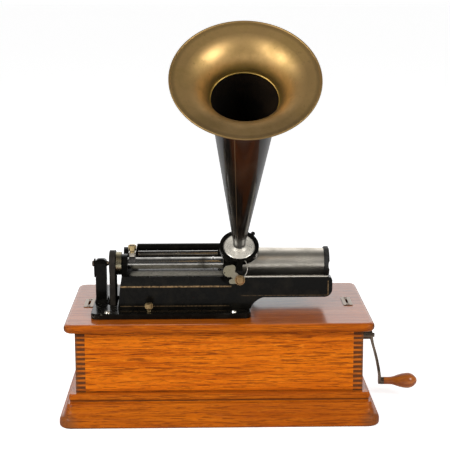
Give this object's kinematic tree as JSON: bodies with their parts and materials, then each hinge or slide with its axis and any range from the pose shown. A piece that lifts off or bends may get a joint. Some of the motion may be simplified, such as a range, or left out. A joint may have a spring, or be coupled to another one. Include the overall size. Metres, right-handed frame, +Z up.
{
  "type": "cylinder phonograph",
  "caption": "Spring-driven cylinder phonograph: oak case with a hinged top, black bed, nickel mandrel with feed screw, sliding carriage, reproducer, horn with a brass bell, and a side crank.",
  "frame": {"origin": "middle of the case's underside, on the surface it stands on", "axes": "+X to the crank side, +Y to the back, +Z up"},
  "size_m": [0.4992, 0.4753, 0.5413],
  "materials": {
    "oak": "glossy varnish over orange quarter-sawn oak",
    "japan": "glossy black japan",
    "nickel": "worn nickel plate",
    "steel": "turned steel",
    "iron": "machined iron",
    "brass": "aged brass",
    "dark_brass": "dark aged brass",
    "leather": "dark oiled leather",
    "rubber": "matte black rubber",
    "glass": "thin clear disc",
    "grip_wood": "red-brown varnished hardwood"
  },
  "bodies": {
    "case": {"front_wall": "oak", "rear_wall": "oak", "left_wall": "oak", "right_wall": "oak", "bottom_board": "oak", "plinth_moulding": "oak", "crank_bush": "nickel", "case_hinges": "steel"},
    "top": {"top_board": "oak", "top_hinges": "steel", "slot_plates": "nickel", "bed_casting": "japan", "bed_screws": "nickel", "straight_edge": "nickel", "back_rod": "nickel", "bearing_bushes": "brass", "pivot_post": "japan", "pivot_screw": "steel", "motor_plate_left": "iron", "motor_plate_middle": "iron", "motor_plate_right": "iron", "motor_fixings": "steel", "drive_belt": "leather"},
    "crank": {"crank": "nickel"},
    "grip": {"crank_grip": "grip_wood"},
    "winding": {"winding_shaft": "steel"},
    "barrel": {"spring_barrel": "iron"},
    "main": {"main_arbor": "steel", "main_wheel": "brass", "mainspring": "steel"},
    "second": {"second_shaft": "steel"},
    "pulley": {"pulley_shaft": "steel", "motor_pulley": "iron"},
    "governor": {"governor_shaft": "steel", "governor_disc": "brass", "governor_springs": "steel", "governor_weights": "brass"},
    "mandrel": {"feed_screw": "steel", "mandrel": "nickel", "mandrel_end_ring": "rubber", "mandrel_pulley": "japan", "ribbed_collar": "brass"},
    "lock_lever": {"lock_lever": "japan"},
    "slider": {"rod_bushes": "brass"},
    "carriage": {"carriage": "japan", "half_nut_arm": "nickel", "half_nut": "iron", "nut_set_screw": "brass", "clamp_screw": "nickel", "reproducer_body": "nickel", "diaphragm": "glass", "lever_screw": "brass", "guide_spring": "nickel", "neck_ring": "rubber"},
    "lift_lever": {"lift_lever": "nickel"},
    "weight": {"floating_weight": "brass"},
    "horn": {"horn_cone": "japan", "horn_bell": "dark_brass"},
    "speed_screw": {"speed_screw": "brass"},
    "friction_lever": {"friction_lever": "iron"}
  },
  "joints": [
    {"name": "top_hinge", "type": "hinge", "parent": "case", "child": "top", "pos_m": [0, 0.1068, 0.1257], "axis": [-1, 0, 0], "range_deg": [0, 75]},
    {"name": "crank_turn", "type": "hinge", "parent": "case", "child": "crank", "pos_m": [0.186, 0, 0.092], "axis": [1, 0, 0], "continuous": true},
    {"name": "grip_spin", "type": "hinge", "parent": "crank", "child": "grip", "pos_m": [0.26, 0, 0.024], "axis": [1, 0, 0], "continuous": true},
    {"name": "winding_turn", "type": "hinge", "parent": "top", "child": "winding", "pos_m": [0.02, 0, 0.092], "axis": [1, 0, 0], "continuous": true},
    {"name": "barrel_turn", "type": "hinge", "parent": "top", "child": "barrel", "pos_m": [0, 0.0272, 0.05552], "axis": [1, 0, 0], "continuous": true},
    {"name": "mandrel_turn", "type": "hinge", "parent": "top", "child": "mandrel", "pos_m": [0.06, -0.012, 0.2015], "axis": [1, 0, 0], "continuous": true},
    {"name": "pulley_turn", "type": "hinge", "parent": "top", "child": "pulley", "pos_m": [-0.1, -0.012, 0.08828], "axis": [1, 0, 0], "continuous": true},
    {"name": "second_turn", "type": "hinge", "parent": "top", "child": "second", "pos_m": [-0.06, -0.016, 0.05552], "axis": [1, 0, 0], "continuous": true},
    {"name": "main_turn", "type": "hinge", "parent": "top", "child": "main", "pos_m": [-0.05, 0.0272, 0.05552], "axis": [1, 0, 0], "continuous": true},
    {"name": "governor_turn", "type": "hinge", "parent": "top", "child": "governor", "pos_m": [-0.065, -0.04125, 0.09344], "axis": [1, 0, 0], "continuous": true},
    {"name": "carriage_slide", "type": "slide", "parent": "top", "child": "slider", "axis": [1, 0, 0], "range_m": [0, 0.104]},
    {"name": "carriage_lift", "type": "hinge", "parent": "slider", "child": "carriage", "pos_m": [0.019, 0.038, 0.203], "axis": [-1, 0, 0], "range_deg": [0, 7]},
    {"name": "lift_lever_turn", "type": "hinge", "parent": "carriage", "child": "lift_lever", "pos_m": [0.02855, -0.067, 0.1901], "axis": [0, -1, 0], "range_deg": [0, 70]},
    {"name": "weight_swing", "type": "hinge", "parent": "carriage", "child": "weight", "pos_m": [0.02855, -0.01907, 0.23249], "axis": [1, 0, 0], "range_deg": [0, 6]},
    {"name": "horn_pull", "type": "slide", "parent": "carriage", "child": "horn", "axis": [0, -0.7141, 0.7], "range_m": [0, 0.025]},
    {"name": "lock_lever_turn", "type": "hinge", "parent": "top", "child": "lock_lever", "pos_m": [-0.172, -0.012, 0.2015], "axis": [1, 0, 0], "range_deg": [0, 90]},
    {"name": "speed_screw_turn", "type": "hinge", "parent": "top", "child": "speed_screw", "pos_m": [-0.0945, -0.077, 0.15], "axis": [0, 0, 1], "range_deg": [0, 360]},
    {"name": "friction_lever_turn", "type": "hinge", "parent": "top", "child": "friction_lever", "pos_m": [-0.084, -0.053, 0.112], "axis": [0, 1, 0], "range_deg": [0, 5]}
  ],
  "couplings": [
    {"joint": "winding_turn", "follows": "crank_turn", "ratio": 1},
    {"joint": "barrel_turn", "follows": "crank_turn", "ratio": -0.3},
    {"joint": "pulley_turn", "follows": "mandrel_turn", "ratio": 0.8747},
    {"joint": "second_turn", "follows": "mandrel_turn", "ratio": -0.17494},
    {"joint": "main_turn", "follows": "mandrel_turn", "ratio": 0.034988},
    {"joint": "governor_turn", "follows": "mandrel_turn", "ratio": -3.8487},
    {"joint": "lift_lever_turn", "follows": "carriage_lift", "ratio": 10},
    {"joint": "friction_lever_turn", "follows": "speed_screw_turn", "ratio": 0.013889}
  ]
}
